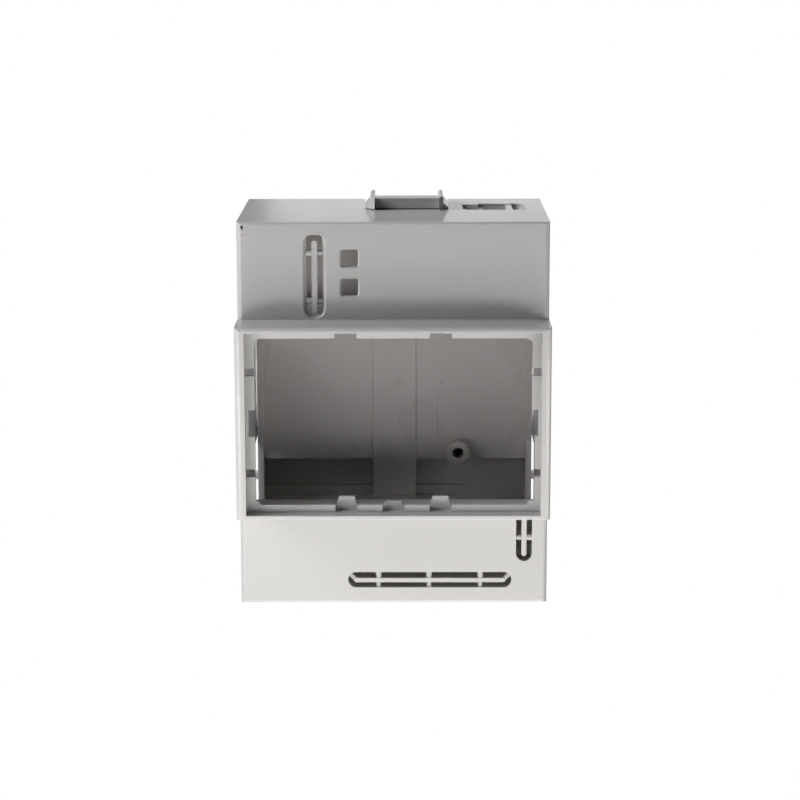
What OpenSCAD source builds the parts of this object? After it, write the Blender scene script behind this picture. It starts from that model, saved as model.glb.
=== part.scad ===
// Four-module DIN rail enclosure: a moulded front housing with an open window for a panel,
// a shallow base tray with the rail hooks, and a sliding rail latch worked from the top.
// X runs to the right, Y to the rear and Z up. The origin is the centre of the lower end.

/* [Housing] */
// Width across the side walls
body_w = 71.6; // [71:0.1:72.4]
// Height from the lower end to the top face
body_h = 89.7; // [89:0.1:91]
// Depth from the front of the nose to the rear edge
body_d = 58; // [57.5:0.1:60]
// Wall of the front housing
wall = 1.6; // [1.5:0.05:1.7]
// How far the nose stands out from the shoulders
nose_d = 11.8; // [10:0.1:13]
// Lower side of the nose above the lower end
nose_z = 22.85; // [22.5:0.05:23]
// Height of the nose
nose_h = 44.4; // [44.2:0.1:44.8]
// Radius of the upright outer edges
side_r = 1.2; // [0.8:0.1:1.4]

/* [Window] */
// Depth of the seat that the front panel drops into
seat_d = 4; // [3:0.1:5]
// Thickness of the ledge under the panel
ledge_t = 1.6; // [1.2:0.1:2]
// Width of the window through the ledge
window_w = 63.2; // [62:0.1:64]

/* [Rail] */
// Height of the top-hat rail that the base takes
rail_h = 35; // [35:0.1:35.3]
// Travel of the latch from closed to released
latch_travel = 3.5; // [2.5:0.1:3.5]

/* [Hidden] */
$fn = 48;
eps = 0.5;
light_grey = [0.80, 0.80, 0.78];
base_grey = [0.76, 0.76, 0.75];
latch_grey = [0.72, 0.72, 0.71];

half_w = body_w / 2;
nose_top = nose_z + nose_h;
nose_mid = nose_z + nose_h / 2;
cavity_x = half_w - wall;
cavity_top = body_h - wall;
shoulder_back_d = nose_d + wall;
top_edge_r = 0.6;
nose_edge_r = 0.9;
nose_low_r = 0.25;

// Seat and window of the nose
ledge_back_d = seat_d + ledge_t;
seat_x = half_w - 2.2;
seat_z = [nose_z + 0.95, nose_top - 1.2];
window_x = window_w / 2;
window_z = [nose_z + 2.6, nose_top - 3.05];
window_corner = [1.05, 0.9];
window_step = 0.7;
nose_hollow_z = [nose_z + wall, nose_top - wall];
notch_w = 5;
notch_x = 10.8;
clip_notch_z = [41.5, 47.7];
clip_notch_d = 1.45;
small_notch_h = 1.8;
small_notch_z = [32.9, 56.45];
tab_gap = 1;
tab_t = 1.2;
tab_taper = 0.75;
side_tab_h = 2.4;
middle_tab_h = 1.3;

// Knock-out strips: a bar held by thin ties across a slot
strip_w = 3.7;
bar_back = 0.15;
tie_r = [0.52, 0.76];
tie_depth = 0.95;
tie_bite = 0.1;
pocket_d = 0.8;
upper_slot_x = -18;
upper_slot_z = [67.4, 87.5];
upper_pocket_w = 5.26;
upper_floor_w = 3.9;
upper_hole_z = [70.1, 86.65];
upper_hole_r = 0.7;
upper_bar_w = 1.3;
upper_bar_z = [68.8, 85.5];
upper_ties_z = [71.6, 82.55];
led_hole_x = -10;
led_holes_z = [74.7, 81.4];
led_hole_w = 3.9;
led_hole_r = 0.6;
led_rim = 0.35;
led_rim_r = 1;
lower_slot = [[-10.7, 3.6], [27.5, 7.3]];
lower_bar_z = [4.8, 5.82];
lower_bar_inset = 1.4;
lower_ties_x = [-3.6, 8.2, 20.2];
end_tie_r = 0.53;
end_tie_h = 2.4;
end_tie_inset = 1.8;
side_slot = [[28.55, 9.95], [32.25, 21.9]];
side_bar_w = 1.2;
side_bar_inset = [1.15, 0.9];
side_ties_z = [15.5, 20.6];

// Cable knock-out and latch slot in the top face
top_pocket_x = [16.4, 31.4];
top_pocket_d = [body_d - 23, body_d - 10.6];
top_pocket_r = 2;
top_hole_x = [17.2, 29.9];
top_hole_d = [body_d - 22.1, body_d - 11.4];
top_hole_r = 1.2;
top_step_x = 20.3;
top_step_d = body_d - 12.5;
top_rib_x = [20.3, 21.6];
top_bridge_x = [26.9, 28.3];
top_bar_d = [body_d - 17.4, body_d - 16.1];
top_rib_h = 0.8;

// Rear base: a tray between the side walls of the housing
base_x = cavity_x - 0.4;
base_z = [wall + 0.2, cavity_top - 0.2];
base_front = body_d - 10.5;
base_wall = 1.5;
base_skin = 1.8;
floor_d = body_d - 10;
inner_x = base_x - base_wall;
inner_z = [base_z[0] + base_wall, base_z[1] - base_wall];
rail_z = [27.8, 27.8 + rail_h + 0.6];
rail_seat_d = body_d - 3;
rib_t = 1.4;
rib_places = [-22, -11, 0, 11, 22];
pier_x = 5.25;
pier_step_z = 17.2;
pier_step_h = 0.6;
pocket_floor_d = body_d - base_skin;
floor_ribs_z = [[14.2, 15.2], [16.6, 17.9]];
floor_ribs_end = 18;
floor_rib_h = 0.7;
hook_x = [10, 31];
hook_d = body_d - 1.6;
hook_h = 2.5;
hook_chamfer = 1;
boss_at = [15.6, 28.4];
boss_r = 2.86;
boss_bore_r = 1.33;
boss_front_d = floor_d - 3;
boss_rear_d = rail_seat_d - 0.1;
boss_bore_h = 8;
mark_depth = 0.15;
arch_x = [10.6, 20.4];
arch_z = [31.5, 44.5];
arch_r = 2;
ejector_at = [22.9, 19.3];
ejector_r = 3.9;

// How the base snaps into the housing: lugs at the sides, beads above and below
side_cut_z = [12, 31];
side_cut_d = body_d - 14;
lug_z = [21.2, 22.8];
lug_len = 3;
lug_sunk = 0.5;
bead_x = 22;
bead_w = 8;
bead_h = 0.5;
bead_d = [body_d - 6, body_d - 4.8];
groove_gap = 0.3;
stop_rib_z = [7, 8.2];
stop_rib_w = 1.5;

// Rail latch and its channel in the base
latch_gap = 0.3;
latch_x = [-5.6, 11.8];
latch_mid_x = (latch_x[0] + latch_x[1]) / 2;
latch_d = [body_d - 5, body_d - 1.7];
channel_x = [latch_x[0] - latch_gap, latch_x[1] + latch_gap];
channel_z = rail_z[1] + rib_t;
slide_lip_w = 1.5;
slide_lip_d = latch_d[1] + latch_gap;
runner_w = 1.2;
runner_inset = 3;
tongue_x = [latch_x[0] + 1.6, latch_x[1] - 1.6];
tongue_z = [rail_z[0] + rail_h - 1.6, inner_z[1] - latch_travel - 0.2];
tongue_front_d = rail_seat_d + 1.5;
tongue_back_d = body_d - 0.2;
tongue_chamfer = [0.9, 1.2];
latch_foot_z = channel_z + 0.2;
arm_z = [body_h + 0.2, body_h + 1];
arm_d = [body_d - 21.6, body_d - 6.7];
arm_lip_t = 1.2;
arm_lip_top = body_h + 2.6;
fin_d = [arm_d[0] - 1.9, arm_d[1]];
fin_top = body_h + 3.1;
fin_knee = body_h + 1.5;
fin_w = 1.1;
fin_foot = 1.3;
fin_chamfer_d = 3;
fin_end_r = 1.5;
top_cut_x = [latch_x[0] - 1.5, latch_x[1] + 1.3];
top_cut_d = body_d - 6.5;

// Depth behind the front of the nose, turned into the model's Y
function at(depth) = depth - body_d / 2;

// Its children and their mirror image on the other side
module both_sides() {
  children();
  mirror([1, 0, 0]) children();
}

// Its children near the lower end and their mirror image near the top
module both_ends() {
  children();
  translate([0, 0, 2 * nose_mid]) mirror([0, 0, 1]) children();
}

// An outline drawn in X and Z, made solid between two depths
module through_depth(from, to) {
  translate([0, at(to), 0]) rotate([90, 0, 0]) linear_extrude(to - from) children();
}

// An outline drawn in Y and Z, made solid between two places along X
module across(from, to) {
  translate([from, 0, 0]) rotate([90, 0, 90]) linear_extrude(to - from) children();
}

// An outline drawn in X and Y, made solid between two heights
module upright(from, to) {
  translate([0, 0, from]) linear_extrude(to - from) children();
}

// A block given by its ranges in X, depth and Z
module block(x, depth, z) {
  translate([x[0], at(depth[0]), z[0]]) cube([x[1] - x[0], depth[1] - depth[0], z[1] - z[0]]);
}

// What a rounding takes off a square corner at p; side points into the corner
module corner_off(p, side, r) {
  difference() {
    translate([p[0] - (side[0] > 0 ? eps : r), p[1] - (side[1] > 0 ? eps : r)]) square(r + eps);
    translate(p + r * side) circle(r);
  }
}

// Rectangle with a radius of its own at each corner:
// lower left, lower right, upper right, upper left
module corner_rect(lo, hi, r) {
  corners = [lo, [hi[0], lo[1]], hi, [lo[0], hi[1]]];
  sides = [[1, 1], [-1, 1], [-1, -1], [1, -1]];
  difference() {
    translate(lo) square(hi - lo);
    for (i = [0 : 3]) if (r[i] > 0) corner_off(corners[i], sides[i], r[i]);
  }
}

// Slot outline with round ends, upright or lying
module long_hole(lo, hi) {
  size = hi - lo;
  r = min(size[0], size[1]) / 2;
  translate(lo + [r, r]) circle(r);
  translate(hi - [r, r]) circle(r);
  translate(lo + (size[0] > size[1] ? [r, 0] : [0, r]))
    square(size[0] > size[1] ? [size[0] - 2 * r, size[1]] : [size[0], size[1] - 2 * r]);
}

// Shoulders or nose as a rounded block
module rounded_block(depth, z, low_r, top_r) {
  intersection() {
    across(-half_w, half_w)
      corner_rect([at(depth[0]), z[0]], [at(depth[1]), z[1]], [low_r, 0, 0, top_r]);
    upright(z[0], z[1])
      corner_rect([-half_w, at(depth[0])], [half_w, at(depth[1])], [side_r, side_r, 0, 0]);
  }
}

// Window through the ledge, with its cut corners and the lower step on the right
module window_outline() {
  c = window_corner;
  x = window_x;
  low = window_z[0];
  top = window_z[1];
  step_z = clip_notch_z[0];
  polygon([[-x + c[0], low], [x - c[0], low], [x - c[0] / 2, low + c[1]],
    [x + window_step, low + c[1]], [x + window_step, step_z], [x, step_z],
    [x, top - c[0]], [x - c[0], top], [-x + c[0], top], [-x, top - c[0]],
    [-x, low + c[1]], [-x + c[0] / 2, low + c[1]]]);
}

// Notches in the ledge that take the panel's clips
module ledge_notches() {
  ledge_d = [seat_d - eps, ledge_back_d + eps];
  for (x = [-notch_x, notch_x])
    block([x - notch_w / 2, x + notch_w / 2], ledge_d, [window_z[1] - eps, seat_z[1]]);
  for (x = [-notch_x, 0, notch_x])
    block([x - notch_w / 2, x + notch_w / 2], ledge_d, [seat_z[0], window_z[0] + eps]);
  both_sides() {
    block([window_x - eps, window_x + clip_notch_d], ledge_d, clip_notch_z);
    for (z = small_notch_z)
      block([window_x - eps, cavity_x], ledge_d, [z - small_notch_h / 2, z + small_notch_h / 2]);
  }
}

// Tapered catch tabs that stand behind the lower notches
module catch_tabs() {
  foot_x = notch_w / 2;
  top_x = foot_x - tab_taper;
  for (tab = [[-notch_x, side_tab_h], [0, middle_tab_h], [notch_x, side_tab_h]])
    through_depth(ledge_back_d + tab_gap, ledge_back_d + tab_gap + tab_t)
      translate([tab[0], nose_hollow_z[0]])
        polygon([[-foot_x, -eps], [foot_x, -eps], [foot_x, 0], [top_x, tab[1]],
          [-top_x, tab[1]], [-foot_x, 0]]);
}

// Round tie across a slot in the middle of the wall, thicker at its far end, in X or in Z
module tie(from, to, z_or_x, upright_tie) {
  depth = at(nose_d + tie_depth);
  place = upright_tie ? [z_or_x, depth, from] : [from, depth, z_or_x];
  turn = upright_tie ? 0 : (to > from ? 90 : -90);
  translate(place) rotate([0, turn, 0])
    cylinder(h = abs(to - from), r1 = tie_r[0], r2 = tie_r[1]);
}

// Upright sunk field with round ends and sloping walls
module sloped_pocket() {
  top_r = upper_pocket_w / 2;
  foot_r = upper_floor_w / 2;
  slope = (top_r - foot_r) / pocket_d;
  mouth_r = top_r + slope * eps;
  ends = [upper_slot_z[0] + top_r, upper_slot_z[1] - top_r];
  for (z = ends)
    translate([upper_slot_x, at(nose_d) - eps, z]) rotate([-90, 0, 0])
      cylinder(h = pocket_d + eps, r1 = mouth_r, r2 = foot_r);
  upright(ends[0], ends[1])
    polygon([[upper_slot_x - mouth_r, at(nose_d) - eps], [upper_slot_x + mouth_r, at(nose_d) - eps],
      [upper_slot_x + foot_r, at(nose_d) + pocket_d], [upper_slot_x - foot_r, at(nose_d) + pocket_d]]);
}

// Trapezoid that narrows from the face inwards, for a chamfered rim
module rim_profile(half) {
  polygon([[-half - led_rim - eps, -eps], [half + led_rim + eps, -eps], [half, led_rim],
    [-half, led_rim]]);
}

// Square light-pipe hole with rounded corners and a chamfered rim
module led_hole(z) {
  half = led_hole_w / 2;
  rim = half + led_rim;
  reach = rim + eps;
  through_depth(nose_d - eps, shoulder_back_d + eps) translate([led_hole_x, z])
    corner_rect([-half, -half], [half, half], [for (i = [0 : 3]) led_hole_r]);
  translate([led_hole_x, at(nose_d), z]) intersection() {
    translate([0, 0, -reach]) linear_extrude(2 * reach) rim_profile(half);
    rotate([0, 90, 0]) translate([0, 0, -reach]) linear_extrude(2 * reach) rim_profile(half);
    rotate([90, 0, 0]) translate([0, 0, -led_rim - eps]) linear_extrude(2 * (led_rim + eps))
      corner_rect([-rim, -rim], [rim, rim], [for (i = [0 : 3]) led_rim_r]);
  }
}

// Openings in the front walls of the shoulders
module shoulder_openings() {
  sloped_pocket();
  through_depth(nose_d - eps, shoulder_back_d + eps) {
    corner_rect([upper_slot_x - strip_w / 2, upper_hole_z[0]],
      [upper_slot_x + strip_w / 2, upper_hole_z[1]], [for (i = [0 : 3]) upper_hole_r]);
    long_hole(lower_slot[0], lower_slot[1]);
    long_hole(side_slot[0], side_slot[1]);
  }
  for (z = led_holes_z) led_hole(z);
}

// Bars and ties left standing in the shoulder slots
module shoulder_bars() {
  lower_mid = (lower_bar_z[0] + lower_bar_z[1]) / 2;
  side_mid = (side_slot[0][0] + side_slot[1][0]) / 2;
  through_depth(nose_d + bar_back, shoulder_back_d - bar_back) {
    long_hole([upper_slot_x - upper_bar_w / 2, upper_bar_z[0]],
      [upper_slot_x + upper_bar_w / 2, upper_bar_z[1]]);
    long_hole([lower_slot[0][0] + lower_bar_inset, lower_bar_z[0]],
      [lower_slot[1][0] - lower_bar_inset, lower_bar_z[1]]);
    long_hole([side_mid - side_bar_w / 2, side_slot[0][1] + side_bar_inset[0]],
      [side_mid + side_bar_w / 2, side_slot[1][1] - side_bar_inset[1]]);
  }
  for (z = upper_ties_z)
    tie(upper_slot_x + strip_w / 2 + tie_bite, upper_slot_x - strip_w / 2 - tie_bite, z, false);
  for (z = side_ties_z) tie(side_slot[0][0] - tie_bite, side_slot[1][0] + tie_bite, z, false);
  for (x = lower_ties_x) tie(lower_slot[0][1] - tie_bite, lower_slot[1][1] + tie_bite, x, true);
  for (end = [[lower_slot[0][0] + end_tie_inset, -45], [lower_slot[1][0] - end_tie_inset, 45]])
    translate([end[0], at(nose_d + tie_depth), lower_mid])
      rotate([0, end[1], 0]) cylinder(h = end_tie_h, r = end_tie_r);
}

// Cable knock-out in the top face, a sunk field and the hole through it, and the latch's slot
module top_openings() {
  field = [for (i = [0 : 3]) top_pocket_r];
  hole = [for (i = [0 : 3]) top_hole_r];
  upright(cavity_top + pocket_d, body_h + eps) difference() {
    corner_rect([top_pocket_x[0], at(top_pocket_d[0])], [top_pocket_x[1], at(top_pocket_d[1])], field);
    translate([top_pocket_x[0] - eps, at(top_step_d)])
      square([top_step_x - top_pocket_x[0] + eps, top_pocket_d[1]]);
  }
  upright(cavity_top - eps, body_h)
    corner_rect([top_hole_x[0], at(top_hole_d[0])], [top_step_x + eps, at(top_step_d)], hole);
  upright(cavity_top - eps, body_h)
    corner_rect([top_step_x, at(top_hole_d[0])], [top_hole_x[1], at(top_hole_d[1])], hole);
  block(top_cut_x, [top_cut_d, body_d + eps], [cavity_top - eps, body_h + eps]);
}

// Ribs and the bridge left standing across the top knock-out
module top_bars() {
  long_d = [top_hole_d[0] - tie_bite, top_pocket_d[1] + tie_bite];
  rib_z = [cavity_top, cavity_top + top_rib_h];
  block(top_rib_x, [long_d[0], top_hole_d[1] + tie_bite], rib_z);
  block(top_bridge_x, long_d, [cavity_top, body_h - bar_back]);
  block([top_hole_x[0] - tie_bite, top_hole_x[1] + tie_bite], top_bar_d, rib_z);
}

// Ribs on the side walls that the base's rim comes up against
module stop_ribs() {
  both_sides() both_ends()
    block([cavity_x - stop_rib_w, cavity_x + eps], [shoulder_back_d - eps, base_front], stop_rib_z);
}

// Grooves in the upper and lower walls that the base's beads snap into
module bead_grooves() {
  both_sides() {
    x = [bead_x - bead_w / 2 - groove_gap, bead_x + bead_w / 2 + groove_gap];
    depth = [bead_d[0] - groove_gap, bead_d[1] + groove_gap];
    block(x, depth, [cavity_top - eps, cavity_top + bead_h]);
    block(x, depth, [wall - bead_h, wall + eps]);
  }
}

// Cut-outs in the side walls for the base's lugs and for the rail
module side_cuts() {
  through_x = [cavity_x - stop_rib_w - eps, half_w + eps];
  both_sides() {
    both_ends() block([cavity_x - eps, half_w + eps], [side_cut_d, body_d + eps], side_cut_z);
    block(through_x, [rail_seat_d, body_d + eps], rail_z + [-latch_gap, latch_gap]);
  }
}

module front_housing() {
  color(light_grey) {
    difference() {
      union() {
        rounded_block([nose_d, body_d], [0, body_h], top_edge_r, top_edge_r);
        rounded_block([0, nose_d + 3], [nose_z, nose_top], nose_low_r, nose_edge_r);
      }
      block([-cavity_x, cavity_x], [shoulder_back_d, body_d + eps], [wall, cavity_top]);
      block([-cavity_x, cavity_x], [ledge_back_d, shoulder_back_d + eps], nose_hollow_z);
      block([-seat_x, seat_x], [-eps, seat_d], seat_z);
      through_depth(seat_d - eps, ledge_back_d + eps) window_outline();
      ledge_notches();
      shoulder_openings();
      top_openings();
      bead_grooves();
      side_cuts();
    }
    catch_tabs();
    shoulder_bars();
    top_bars();
    stop_ribs();
  }
}

// Hollows of the base that open to the front, beside the pier and beside the latch channel
module base_pockets() {
  block([-inner_x, inner_x], [base_front - eps, floor_d], inner_z);
  both_sides()
    block([pier_x, inner_x], [floor_d - eps, pocket_floor_d], [inner_z[0], rail_z[0] - rib_t]);
  for (x = [[-inner_x, channel_x[0] - base_wall], [channel_x[1] + base_wall, inner_x]])
    block(x, [floor_d - eps, pocket_floor_d], [channel_z, inner_z[1]]);
}

// Hollows of the base that open to the rear: behind the floor, in the pier and for the latch
module base_rear_hollows() {
  skin_d = floor_d + base_skin;
  difference() {
    block([-inner_x, inner_x], [skin_d, body_d + eps], rail_z);
    for (x = rib_places)
      block([x - rib_t / 2, x + rib_t / 2], [floor_d, rail_seat_d], rail_z + [-eps, eps]);
  }
  block([-base_x - eps, base_x + eps], [rail_seat_d, body_d + eps], rail_z);
  block([-pier_x + base_wall, pier_x - base_wall], [skin_d, body_d + eps],
    [inner_z[0], rail_z[0] - rib_t]);
  block(channel_x, [skin_d, body_d + eps], [channel_z, base_z[1] + eps]);
  block(channel_x, [rail_seat_d, body_d + eps], [rail_z[1] - eps, channel_z + eps]);
}

// Fixed hooks that hold the lower edge of the rail
module rail_hooks() {
  foot = rail_z[0] - rib_t;
  tip = rail_z[0] + hook_h;
  both_sides() across(hook_x[0], hook_x[1])
    polygon([[at(hook_d), foot], [at(body_d), foot], [at(body_d), tip - hook_chamfer],
      [at(body_d) - hook_chamfer, tip], [at(hook_d), tip]]);
}

// Lips, runners and end bar that guide the latch in its channel
module latch_guides() {
  guide_z = [channel_z + hook_chamfer, base_z[1]];
  for (x = [channel_x[0], channel_x[1] - slide_lip_w])
    block([x, x + slide_lip_w], [slide_lip_d, body_d], guide_z);
  for (x = [channel_x[0] + runner_inset, channel_x[1] - runner_inset - runner_w])
    block([x, x + runner_w], [floor_d + base_skin - eps, latch_d[0] - latch_gap], guide_z);
  block(channel_x, [slide_lip_d, body_d], [inner_z[1], base_z[1]]);
}

// Screw boss on the floor of the base
module boss() {
  translate([boss_at[0], at(boss_front_d), boss_at[1]]) rotate([-90, 0, 0])
    cylinder(h = boss_rear_d - boss_front_d, r = boss_r);
}

// Low ribs on the floors of the lower pockets and the step at the foot of the pier
module pocket_ribs() {
  for (x = [[-inner_x - eps, -pier_x], [pier_x, floor_ribs_end]])
    for (z = floor_ribs_z)
      block(x, [pocket_floor_d - floor_rib_h, pocket_floor_d + eps], z);
  block([-pier_x, pier_x], [base_front - pier_step_h, base_front + eps],
    [inner_z[0], pier_step_z]);
}

// Shallow marks: the arch above the boss and an ejector pin's disc in the right pocket
module floor_marks() {
  through_depth(floor_d - eps, floor_d + mark_depth)
    corner_rect([arch_x[0], arch_z[0]], [arch_x[1], arch_z[1]], [0, 0, arch_r, arch_r]);
  translate([ejector_at[0], at(pocket_floor_d) - eps, ejector_at[1]]) rotate([-90, 0, 0])
    cylinder(h = eps + mark_depth, r = ejector_r);
}

// Lugs and beads that hold the base in the housing
module snap_features() {
  both_sides() {
    both_ends() block([base_x - eps, half_w - lug_sunk], [floor_d, floor_d + lug_len], lug_z);
    for (z = [[base_z[1] - eps, base_z[1] + bead_h], [base_z[0] - bead_h, base_z[0] + eps]])
      block([bead_x - bead_w / 2, bead_x + bead_w / 2], bead_d, z);
  }
}

module rear_base() {
  color(base_grey) {
    difference() {
      union() {
        difference() {
          block([-base_x, base_x], [base_front, body_d], base_z);
          base_pockets();
        }
        block([-pier_x, pier_x], [base_front, floor_d + eps], [base_z[0], rail_z[1]]);
        boss();
      }
      difference() {
        base_rear_hollows();
        boss();
      }
      translate([boss_at[0], at(boss_front_d) - eps, boss_at[1]]) rotate([-90, 0, 0])
        cylinder(h = boss_bore_h + eps, r = boss_bore_r);
      floor_marks();
    }
    rail_hooks();
    latch_guides();
    pocket_ribs();
    snap_features();
  }
}

// Side fin of the pull arm: its outer face leans below a knee, its edge is round, and its front end is
// cut back towards the outside
module arm_fin() {
  foot = latch_x[0] - fin_foot;
  inner = latch_x[0] + fin_w;
  edge_r = fin_w / 2;
  intersection() {
    through_depth(fin_d[0], fin_d[1]) {
      polygon([[foot, arm_z[0]], [latch_x[0], fin_knee], [latch_x[0], fin_top - edge_r],
        [inner, fin_top - edge_r], [inner, arm_z[0]]]);
      translate([latch_x[0] + edge_r, fin_top - edge_r]) circle(edge_r);
    }
    across(foot - eps, inner + eps)
      corner_rect([at(fin_d[0]), arm_z[0]], [at(fin_d[1]), fin_top], [0, 0, fin_end_r, 0]);
    upright(arm_z[0] - eps, fin_top + eps)
      polygon([[inner, at(fin_d[0])], [inner, at(fin_d[1])], [foot, at(fin_d[1])],
        [foot, at(fin_d[0] + fin_chamfer_d)]]);
  }
}

// Catch under the latch that grips the upper edge of the rail
module tongue() {
  foot = at(latch_d[1]) - eps;
  front = at(tongue_front_d);
  back = at(tongue_back_d);
  across(tongue_x[0], tongue_x[1])
    polygon([[foot, latch_foot_z], [foot, tongue_z[1]], [back, tongue_z[1]],
      [back, tongue_z[0] + tongue_chamfer[1]], [back - tongue_chamfer[0], tongue_z[0]],
      [front, tongue_z[0]], [front, latch_foot_z]]);
}

module rail_latch() {
  color(latch_grey) {
    block(latch_x, latch_d, [latch_foot_z, arm_z[1]]);
    tongue();
    block(latch_x, [arm_d[0], latch_d[1]], arm_z);
    block(latch_x, [arm_d[0], arm_d[0] + arm_lip_t], [arm_z[0], arm_lip_top]);
    arm_fin();
    translate([2 * latch_mid_x, 0, 0]) mirror([1, 0, 0]) arm_fin();
  }
}

front_housing();
rear_base();
rail_latch();
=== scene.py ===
# %% [markdown]
# # A DIN rail enclosure, dressed for its picture
# The solids of this enclosure come from its construction model: a front housing with an open
# window, a base tray behind it and a sliding rail latch. They are loaded first and never moved.
# What is left for Blender is how the plastic looks, so this lesson is about a calm studio,
# a camera and the finish of moulded parts. Everything is in metres, Z points up, and the
# front of the enclosure looks along -Y.

# %% Load the frame
import math

import bpy
from mathutils import Matrix, Vector


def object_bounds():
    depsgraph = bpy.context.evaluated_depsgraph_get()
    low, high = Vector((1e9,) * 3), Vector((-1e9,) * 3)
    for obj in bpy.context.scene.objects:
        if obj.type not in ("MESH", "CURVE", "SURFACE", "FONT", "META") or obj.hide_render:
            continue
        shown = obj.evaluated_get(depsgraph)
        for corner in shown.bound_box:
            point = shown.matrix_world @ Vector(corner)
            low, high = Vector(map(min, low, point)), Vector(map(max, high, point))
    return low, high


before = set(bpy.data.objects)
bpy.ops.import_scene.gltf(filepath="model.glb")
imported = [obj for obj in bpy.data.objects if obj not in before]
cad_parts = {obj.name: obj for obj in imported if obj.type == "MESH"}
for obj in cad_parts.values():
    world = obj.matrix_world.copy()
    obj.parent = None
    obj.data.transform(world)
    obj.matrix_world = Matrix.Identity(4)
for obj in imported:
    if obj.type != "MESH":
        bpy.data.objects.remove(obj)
cad_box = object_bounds()
MM = 0.001
print("loaded", sorted(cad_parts), "in a box of", cad_box)

# %% [markdown]
# ## The camera
# The enclosure is seen from the front and a little above, as it would stand on a bench.
# A long lens keeps the upright edges almost parallel. The camera could be aimed with a
# constraint, but a matrix made from a pitch, a yaw and a small roll says exactly where it looks.
# The place, the three angles and the lens were solved by a least-squares program, not set by
# eye, so they aren't round values.

# %% Camera
CAMERA_AT = Vector((3.72, -560.1, 157.8)) * MM
CAMERA_PITCH = math.radians(11.39)
CAMERA_YAW = math.radians(-0.234)
CAMERA_ROLL = math.radians(0.113)
CAMERA_LENS = 107.95


def aimed_matrix(place, pitch, yaw, roll):
    """Where a camera stands that looks along +Y, tipped down by pitch and turned by yaw."""
    forward = Vector(
        (math.sin(yaw) * math.cos(pitch), math.cos(yaw) * math.cos(pitch), -math.sin(pitch))
    )
    level = Vector((math.cos(yaw), -math.sin(yaw), 0))
    upward = level.cross(forward)
    right = math.cos(roll) * level - math.sin(roll) * upward
    up = math.sin(roll) * level + math.cos(roll) * upward
    turn = Matrix((right, up, -forward)).transposed()
    return Matrix.Translation(place) @ turn.to_4x4()


camera_data = bpy.data.cameras.new("bench_camera")
camera_data.lens = CAMERA_LENS
camera = bpy.data.objects.new("bench_camera", camera_data)
camera.matrix_world = aimed_matrix(CAMERA_AT, CAMERA_PITCH, CAMERA_YAW, CAMERA_ROLL)
bpy.context.scene.collection.objects.link(camera)
bpy.context.scene.camera = camera
print("camera stands", round(-CAMERA_AT.y / MM), "mm in front")

# %% [markdown]
# ## Two small helpers for materials
# Colours are picked as hex values, the way a paint chart gives them, and one function turns
# them to the linear values that the shader needs. A second one adds a node with its settings
# and links in one call, so that a whole material fits on a few lines.


# %% Colour and node helpers
def linear(hex_colour):
    """Linear RGBA of an sRGB hex value such as 'C5CACA'."""
    channels = [int(hex_colour[i : i + 2], 16) / 255 for i in (0, 2, 4)]
    curve = [c / 12.92 if c <= 0.04045 else ((c + 0.055) / 1.055) ** 2.4 for c in channels]
    return (*curve, 1.0)


def add_node(tree, kind, settings=None, inputs=None):
    """A new node. settings are its properties; inputs are socket values, or sockets to link."""
    node = tree.nodes.new(kind)
    for name, value in (settings or {}).items():
        setattr(node, name, value)
    for name, value in (inputs or {}).items():
        if isinstance(value, bpy.types.NodeSocket):
            tree.links.new(value, node.inputs[name])
        else:
            node.inputs[name].default_value = value
    return node


print("light grey in linear values:", [round(c, 3) for c in linear("C8CCCC")])

# %% [markdown]
# ## Floor and light
# The floor is a light table: a large opal sheet that glows, so the enclosure stands on clean
# white. The sheet lights nothing and casts no shadow, so soft boxes can also stand under it.

# %% Floor
FLOOR_SIZE = 12.0
FLOOR_GLOW = 1.0


def plain_material(name):
    """A new material with an empty node tree and its output."""
    material = bpy.data.materials.new(name)
    material.use_nodes = True
    material.node_tree.nodes.clear()
    return material, add_node(material.node_tree, "ShaderNodeOutputMaterial")


# Opal acrylic, lit from below, gives an even white with no edge in sight.
sheet_paper, sheet_out = plain_material("opal_acrylic_sheet")
glow = add_node(
    sheet_paper.node_tree,
    "ShaderNodeEmission",
    inputs={"Color": linear("FFFFFF"), "Strength": FLOOR_GLOW},
)
sheet_paper.node_tree.links.new(glow.outputs[0], sheet_out.inputs["Surface"])

bpy.ops.mesh.primitive_plane_add(size=FLOOR_SIZE)
floor = bpy.context.object
floor.name = "floor"
floor.data.materials.append(sheet_paper)
floor.visible_shadow = False
floor.visible_diffuse = False
floor.visible_glossy = False
print("floor", FLOOR_SIZE, "m wide")
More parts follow.
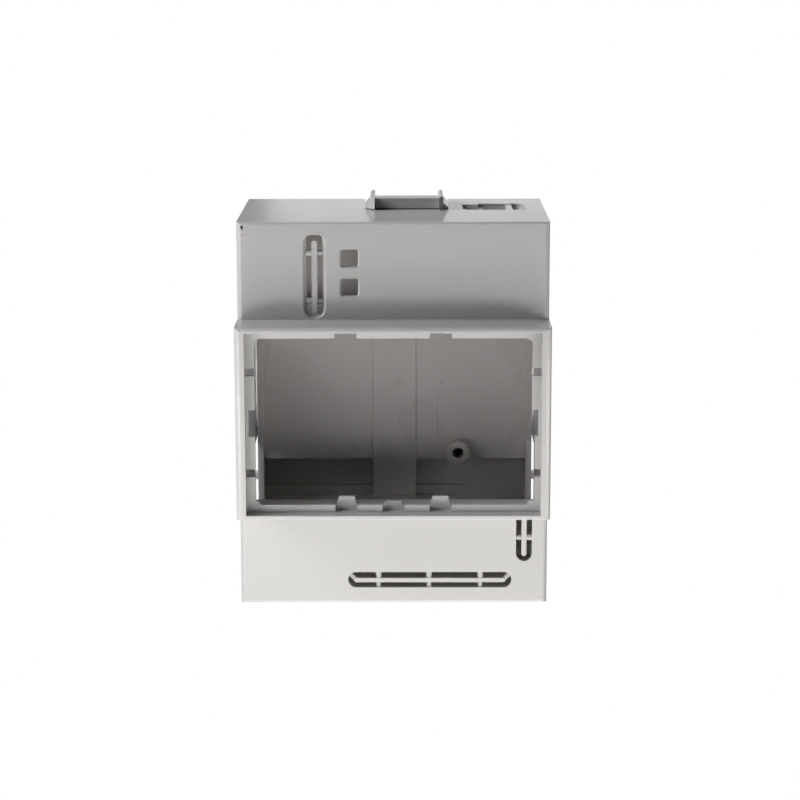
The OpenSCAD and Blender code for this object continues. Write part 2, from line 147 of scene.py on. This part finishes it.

# %% [markdown]
# ## Soft boxes
# Some stand under the sheet, and their light climbs the shoulders evenly. A wide one high on
# the left lights the top faces. Narrow strips lie low and close in front, to look over the sill
# of the window at the ledge behind it. A backdrop and a rear box low behind are what the top
# face mirrors at a flat angle. In a studio each would be set by hand, one after the other. Here
# the places and sizes, and the last three boxes, are listed. A least-squares program chose the
# other eleven from a longer list. Their strengths and tints are a blend of two of its answers,
# so they suit this one enclosure and camera, and are no recipe for another.

# %% Lights
LIGHTS = [
    # name, where it stands in mm, width and height in mm, strength in W, colour
    # strength and colour from a least-squares program, two answers blended:
    ("behind", (0, 420, 520), (500, 300), 1.431, "F6F6FF"),
    ("high_left", (-600, -100, 380), (400, 300), 5.486, "F7F7FF"),
    ("over_left", (-350, -60, 600), (400, 400), 0.38, "F7F7FF"),
    ("straight_below", (0, -120, -480), (300, 300), 1.6, "FFFEFB"),
    ("below_front_steep", (0, -280, -420), (400, 300), 0.67, "FFFEFC"),
    ("below_front", (0, -480, -300), (500, 300), 0.501, "FFFEFF"),
    ("front_low", (0, -600, -120), (600, 250), 0.324, "FFFCFE"),
    ("sill_middle", (0, -110, -20), (300, 40), 0.065, "FFFEFD"),
    ("sill_left", (-120, -170, 6), (120, 30), 0.101, "FFFDFE"),
    ("sill_right", (160, -140, 10), (200, 40), 0.173, "FFFDFE"),
    ("strip_left", (-120, -120, 60), (40, 80), 0.036, "FEFCFF"),
    # strength and colour given one by one:
    ("side_right", (700, 60, 100), (400, 400), 0.4, "FFFFFF"),
    ("backdrop", (0, 650, 235), (900, 220), 0.046, "F9F9FF"),
    ("rear", (120, 760, 30), (400, 300), 1.0, "FFFFFF"),
]
middle = (Vector(cad_box[0]) + Vector(cad_box[1])) / 2


def soft_light(name, place, size, power, colour):
    """A rectangular area light that looks at the middle of the enclosure."""
    data = bpy.data.lights.new(name, "AREA")
    data.shape = "RECTANGLE"
    data.size = size[0] * MM
    data.size_y = size[1] * MM
    data.energy = power
    data.color = linear(colour)[:3]
    light = bpy.data.objects.new(name, data)
    light.location = Vector(place) * MM
    light.rotation_euler = (middle - light.location).to_track_quat("-Z", "Y").to_euler()
    light.visible_camera = False
    bpy.context.scene.collection.objects.link(light)
    return light


for name, place, size, power, colour in LIGHTS:
    soft_light(name, place, size, power, colour)
print(len(LIGHTS), "soft lights")

# %% [markdown]
# ## The sky
# The world adds a trace of light from all round. Rays from the camera see plain white instead,
# and a Light Path node tells the two apart.

# %% Sky
SKY = 0.01

world = bpy.data.worlds.new("studio")
world.use_nodes = True
air = world.node_tree
air.nodes.clear()
dim = add_node(air, "ShaderNodeBackground", inputs={"Color": linear("F4F8FF"), "Strength": SKY})
seen = add_node(air, "ShaderNodeBackground", inputs={"Color": linear("FFFFFF")})
rays = add_node(air, "ShaderNodeLightPath")
choice = add_node(
    air,
    "ShaderNodeMixShader",
    inputs={0: rays.outputs["Is Camera Ray"], 1: dim.outputs[0], 2: seen.outputs[0]},
)
add_node(air, "ShaderNodeOutputWorld", inputs={"Surface": choice.outputs[0]})
bpy.context.scene.world = world
bpy.context.scene.view_settings.view_transform = "Standard"
print("sky strength", SKY)

# %% [markdown]
# ## Moulded plastic
# The pieces are injection-moulded ABS. Its mould was spark-eroded, which leaves a fine, even
# grain that takes the gloss down to a soft sheen. A noise of a fraction of a millimetre tilts
# the surface a little, and a second, far larger one moves the roughness as flow in the
# mould does. A mould's edges are never quite sharp. They could be rounded in the mesh, but
# these solids stay as they are, so a Bevel node turns the normal beside each edge instead.
# A few specks of dirt are round masks in Object coordinates, so each stays on its piece.


# %% Moulded ABS
ABS_IOR = 1.53
GRAIN_PITCH = 0.35 * MM  # coarser than real spark-eroded grain, which is too fine to show
GRAIN_HEIGHT = 0.03 * MM
FLOW_PITCH = 24 * MM
FLOW_SPREAD = 0.03
EDGE_RADIUS = 0.1 * MM
EDGE_SAMPLES = 4
SPECK_CORE = 0.6  # the share of a speck's radius that has its full strength


def with_specks(tree, place, base, specks):
    """The base colour with small round specks: where, radius in mm, strength and colour."""
    colour = linear(base)
    for centre, radius, strength, dirt in specks:
        away = add_node(
            tree,
            "ShaderNodeVectorMath",
            {"operation": "DISTANCE"},
            {0: place, 1: Vector(centre) * MM},
        )
        mask = add_node(
            tree,
            "ShaderNodeMapRange",
            inputs={
                "Value": away.outputs["Value"],
                "From Min": radius * MM,
                "From Max": radius * SPECK_CORE * MM,
                "To Max": strength,
            },
        )
        colour = add_node(
            tree,
            "ShaderNodeMix",
            {"data_type": "RGBA"},
            {0: mask.outputs["Result"], 6: colour, 7: linear(dirt)},
        ).outputs[2]
    return colour


def moulded_abs(name, colour, roughness, grain, specks=()):
    """ABS from a spark-eroded mould: soft sheen, even grain, a trace of flow."""
    material, out = plain_material(name)
    tree = material.node_tree
    place = add_node(tree, "ShaderNodeTexCoord").outputs["Object"]
    edge = add_node(tree, "ShaderNodeBevel", {"samples": EDGE_SAMPLES}, {"Radius": EDGE_RADIUS})
    grit = add_node(
        tree,
        "ShaderNodeTexNoise",
        inputs={"Vector": place, "Scale": 1 / GRAIN_PITCH, "Detail": 2.0},
    )
    flow = add_node(
        tree,
        "ShaderNodeTexNoise",
        inputs={"Vector": place, "Scale": 1 / FLOW_PITCH, "Detail": 3.0},
    )
    bump = add_node(
        tree,
        "ShaderNodeBump",
        inputs={
            "Strength": grain,
            "Distance": GRAIN_HEIGHT,
            "Height": grit.outputs["Fac"],
            "Normal": edge.outputs["Normal"],
        },
    )
    tone = add_node(
        tree,
        "ShaderNodeMapRange",
        inputs={
            "Value": flow.outputs["Fac"],
            "To Min": roughness - FLOW_SPREAD,
            "To Max": roughness + FLOW_SPREAD,
        },
    )
    skin = add_node(
        tree,
        "ShaderNodeBsdfPrincipled",
        inputs={
            "Base Color": with_specks(tree, place, colour, specks),
            "IOR": ABS_IOR,
            "Roughness": tone.outputs["Result"],
            "Normal": bump.outputs["Normal"],
        },
    )
    tree.links.new(skin.outputs[0], out.inputs["Surface"])
    return material


# Specks: where in mm, radius in mm, strength, colour
HOUSING_SPECKS = [
    ((-34.5, -17.2, 88.6), 0.42, 1.0, "1E1216"),
    ((-34.4, -17.2, 88.2), 0.28, 0.85, "2A1618"),
    ((-34.3, -17.2, 86.8), 0.4, 0.25, "8A4A48"),
]
BASE_SPECKS = [((11.5, 19.0, 45.9), 0.3, 0.3, "3C3836"), ((11.5, 19.0, 45.5), 0.26, 0.3, "3C3836")]
FINISHES = {
    "front_housing": moulded_abs("moulded_abs_housing", "B3B2AF", 0.26, 0.2, HOUSING_SPECKS),
    "rear_base": moulded_abs("moulded_abs_base", "BBB8B5", 0.28, 0.15, BASE_SPECKS),
    "rail_latch": moulded_abs("moulded_abs_latch", "B1B0AE", 0.38, 0.3),
}
for name, finish in FINISHES.items():
    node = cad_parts[name]
    node.data.materials.clear()
    node.data.materials.append(finish)
print("finished", sorted(FINISHES))
